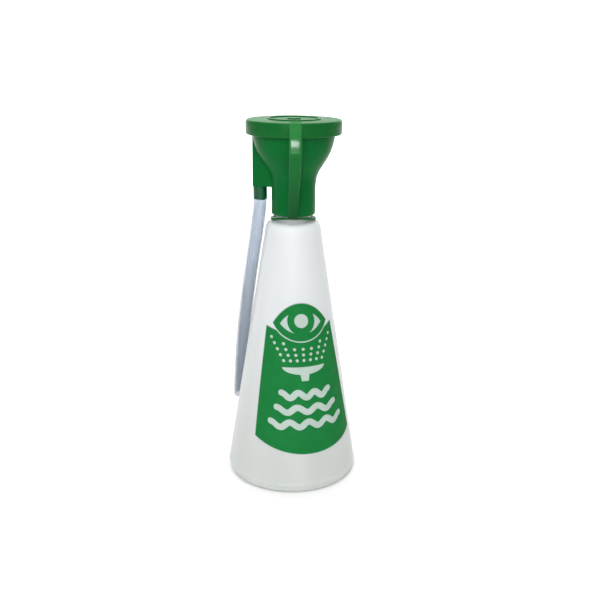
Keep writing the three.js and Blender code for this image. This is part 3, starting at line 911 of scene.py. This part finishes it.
# ---------------------------------------------------------------- inside pieces
def spray_nozzle():
    """A low dome with one spray hole in the middle and six round it."""
    flange_z = 203.9
    rows = rounded([
        (0, 204.4), (3.4, 204.2, 0.2), (3.4, 201.3), (4.7, 201.3, 0.3), (4.7, flange_z), (6.5, flange_z, 0.2),
        (6.5, 204.7, 0.3), (5.2, 205.5, 0.8), (0, 205.9),
    ], 4)
    nozzle = turned("spray_nozzle_insert", rows, NATURAL, even_angles(64))
    ring_r, hole_r, hole_low, hole_high = 2.0, 0.6, 203, 207
    for radius, angle in [(ring_r, a) for a in even_angles(6)] + [(0, 0)]:
        x, y, _ = around(radius, angle, 0)
        drill_rows = [(0, hole_low), (hole_r, hole_low), (hole_r, hole_high), (0, hole_high)]
        drill = turned("drill", drill_rows, NATURAL, even_angles(16))
        drill.data.transform(Matrix.Translation((x * MM, y * MM, 0)))
        combine(nozzle, drill, "DIFFERENCE")
    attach(nozzle, "head")
    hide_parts("spray_nozzle")


def gasket():
    """Flat foam ring between the neck's lip and the cup's floor, a little clear of both."""
    gap, inner, outer, middle = 0.3, 8, 12.8, 200.4
    low, high = NECK_TOP_Z + gap, FLOOR_Z - gap
    rows = rounded([
        (inner, middle), (inner, low, 0.2), (outer, low, 0.35), (outer, high, 0.35), (inner, high, 0.2),
        (inner, middle),
    ], 3)
    ring = turned("neck_gasket", rows[:-1], FOAM, closed=True)
    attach(ring, "riser")
    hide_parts("gasket")


def dip_tube():
    """Drawn tube with a slanted foot."""
    bore = 2.6
    slant = 2.2

    def foot(radius):
        return lambda angle: TUBE_FOOT_Z + slant * (1 + radius * math.cos(math.radians(angle)) / TUBE_R) / 2

    rows = [
        (bore, foot(bore)), (TUBE_R - 0.15, foot(TUBE_R - 0.15)), (TUBE_R, lambda a: foot(TUBE_R)(a) + 0.15),
        *[(TUBE_R, z) for z in range(20, 190, 17)], (TUBE_R, TUBE_TOP_Z - 0.2), (TUBE_R - 0.2, TUBE_TOP_Z),
        (bore, TUBE_TOP_Z), *[(bore, z) for z in range(190, 19, -34)],
    ]
    tube = turned("dip_tube_pipe", rows, NATURAL, even_angles(48), closed=True)
    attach(tube, "riser")
    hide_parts("dip_tube")


spray_nozzle()
gasket()
dip_tube()


# ---------------------------------------------------------------- dust lid and its tether
def dust_lid():
    """Round lid with a soft top edge, a deep skirt and a plain raised ring and disc on its plate."""
    plate, raised = LID_Z - 0.4, LID_Z + 0.4  # on both sides of the CAD's flat plate
    underside = CUP_RIM_Z + 0.3
    inner = LID_R - 1.6
    rows = rounded([
        (0, underside), (inner, underside, 0.6), (inner, SKIRT_Z, 0.3), (LID_R - 0.1, SKIRT_Z, 0.7),
        (LID_R, plate, 1.6), (17.6, plate, 0.1), (17.3, raised, 0.2), (15.7, raised, 0.2),
        (15.4, plate, 0.1), (4.6, plate, 0.1), (4.3, raised, 0.2), (0, raised),
    ], 6)
    lid = turned("dust_lid_cap", rows, LID_GREEN, even_angles(160), smooth=40)
    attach(lid, "lid")
    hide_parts("dust_lid")


def tether_ring():
    """Thin ring round the neck. The strap pulls its front up against the collar."""
    inner, outer, thick = 12.9, 15.2, 1.2
    low_z, lift = 180.2, 2.4

    def level(offset):
        return lambda angle: low_z + lift * max(0.0, math.cos(math.radians(angle))) ** 1.2 + offset

    section = rounded([
        (inner, 0), (inner, -thick / 2, 0.25), (outer, -thick / 2, 0.45), (outer, thick / 2, 0.45),
        (inner, thick / 2, 0.25), (inner, 0),
    ], 4)[:-1]
    return turned("tether_ring", [(r, level(z)) for r, z in section], GREEN, even_angles(120), closed=True)


def strap_section(width, thick):
    """Section of the strap, (across, out) pairs: a flat back, and a face with bevelled edges."""
    half, bevel, drop, corner = width / 2, 1.15, 0.5, 0.18
    face = thick / 2
    right = [
        (half - corner, -face), (half, -face + corner), (half, face - drop - corner),
        (half - 0.12, face - drop + 0.03), (half - bevel + 0.15, face - 0.03), (half - bevel - 0.2, face),
    ]
    crown, flat = 0.09, half - bevel - 0.2  # the face is very slightly rounded
    middle = [(x * flat, face + crown * (1 - x * x)) for x in (0.7, 0.35, 0.0, -0.35, -0.7)]
    left = [(-x, y) for x, y in reversed(right)]
    back = [(x * half, -face) for x in (-0.5, 0.0, 0.5)]
    return right + middle + left + back


def lid_tether():
    """The strap from the lid's edge, over its bend and down to the ring, in one piece with the ring."""
    line = through([
        (-28.0, 244.6), (-29.7, 243.9), (-31.0, 242.0), (-32.2, 239.6), (-33.8, 237.0), (-34.9, 234.8),
        (-36.0, 231.5), (-36.4, 228.5), (-36.0, 225.2), (-31.4, 215.2), (-24.5, 201.4), (-18.9, 188.2),
        (-17.4, 184.9), (-16.0, 183.3), (-14.2, 182.5),
    ], 6)
    narrow_from_z, narrow_length = 228, 38
    flare_from_z, flare_length = 186.5, 3.8
    spread_z = 243.8
    reach = len(line) - 1
    rings = []
    for i, (y, z) in enumerate(line):
        (y0, z0), (y1, z1) = line[max(i - 1, 0)], line[min(i + 1, reach)]
        along = Vector((y1 - y0, z1 - z0)).normalized()
        out = Vector((along.y, -along.x))
        narrowing = min(1.0, max(0.0, (narrow_from_z - z) / narrow_length))
        flare = max(0.0, flare_from_z - z) / flare_length  # into the ring
        spread = math.exp(-(((z - spread_z) / 1.2) ** 2))  # over the lid's edge
        width = 7.7 - 1.8 * narrowing + 3.6 * flare ** 2 + 0.8 * spread
        aside = 0.7 * narrowing  # it leans a little to the left
        thick = 1.6 - 0.3 * min(1.0, flare)
        rings.append([(x - aside, y + out.x * n, z + out.y * n) for x, n in strap_section(width, thick)])
    strap = swept("tether_strap", rings, THIN_GREEN, smooth=30)
    tether = combine(tether_ring(), strap, "UNION", smooth=30)
    tether.name = "tether_strap_and_ring"
    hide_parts("lid_tether")
    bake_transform(tether)


dust_lid()
lid_tether()


# ---------------------------------------------------------------- floor, backdrop and light
def stage():
    """A pale floor that curves up into a backdrop far behind."""
    half, front, back, bend, top = 3000, -2500, 2500, 800, 2600
    turns = [math.radians(a) for a in range(0, 91, 9)]
    curve = [(back - bend + bend * math.sin(t), bend - bend * math.cos(t)) for t in turns]
    profile = [(front, 0), (0, 0), *curve, (back, top)]
    clearance = 0.05  # below the foot
    vertices = [(x, y, z - clearance) for y, z in profile for x in (-half, half)]
    faces = [[2 * k, 2 * k + 1, 2 * k + 3, 2 * k + 2] for k in range(len(profile) - 1)]
    material, nodes, links, shader = node_material("stage_white")
    links.new(between(nodes, links, noise(nodes, links, 4, 2), (0.86, 0.86, 0.86), (0.9, 0.9, 0.9)),
              shader.inputs["Base Color"])
    shader.inputs["Roughness"].default_value = 0.9
    shader.inputs["Specular IOR Level"].default_value = 0.1
    piece("stage_floor", vertices, faces, material)


def softbox(name, place, aim, size, power):
    """A rectangular light at a place, turned to what it lights, with a power in watts."""
    data = bpy.data.lights.new(name, "AREA")
    data.shape = "RECTANGLE"
    data.size, data.size_y = (s * MM for s in size)
    data.energy = power
    light = bpy.data.objects.new(name, data)
    bpy.context.scene.collection.objects.link(light)
    light.location = Vector(place) * MM
    light.rotation_euler = (Vector(aim) - Vector(place)).to_track_quat("-Z", "Y").to_euler()


def lighting():
    """A window-like key light in front with a low fill, soft light from above and on the backdrop, and a
    pale room."""
    world = bpy.data.worlds.new("studio")
    world.use_nodes = True
    nodes, links = world.node_tree.nodes, world.node_tree.links
    depth = ranged(nodes, links, coordinate(nodes, links, "Generated", "Y"), 0.42, 1.2, -0.3, 0.7)
    aside = calculated(nodes, links, "ABSOLUTE", coordinate(nodes, links, "Generated", "X"))
    flag = ranged(nodes, links, aside, 1.0, 0.6, 0.1, 0.85)  # dimmer at both sides
    strength = calculated(nodes, links, "MULTIPLY", depth, flag)
    nodes["Background"].inputs["Color"].default_value = (1.0, 1.0, 1.0, 1)
    links.new(strength, nodes["Background"].inputs["Strength"])
    bpy.context.scene.world = world
    window_distance, window_angle = 1100, -9
    middle = (0, 0, 150)
    softbox("key", around(window_distance, window_angle, 735), middle, (700, 400), 7.8)
    softbox("fill", around(window_distance, window_angle, 320), middle, (700, 300), 1.4)
    softbox("overhead", (0, 100, 1300), (0, 100, 0), (900, 900), 9)
    softbox("backdrop", (0, 900, 1500), (0, 2500, 500), (2400, 500), 60)


stage()
lighting()
bpy.context.scene.view_settings.view_transform = "Standard"
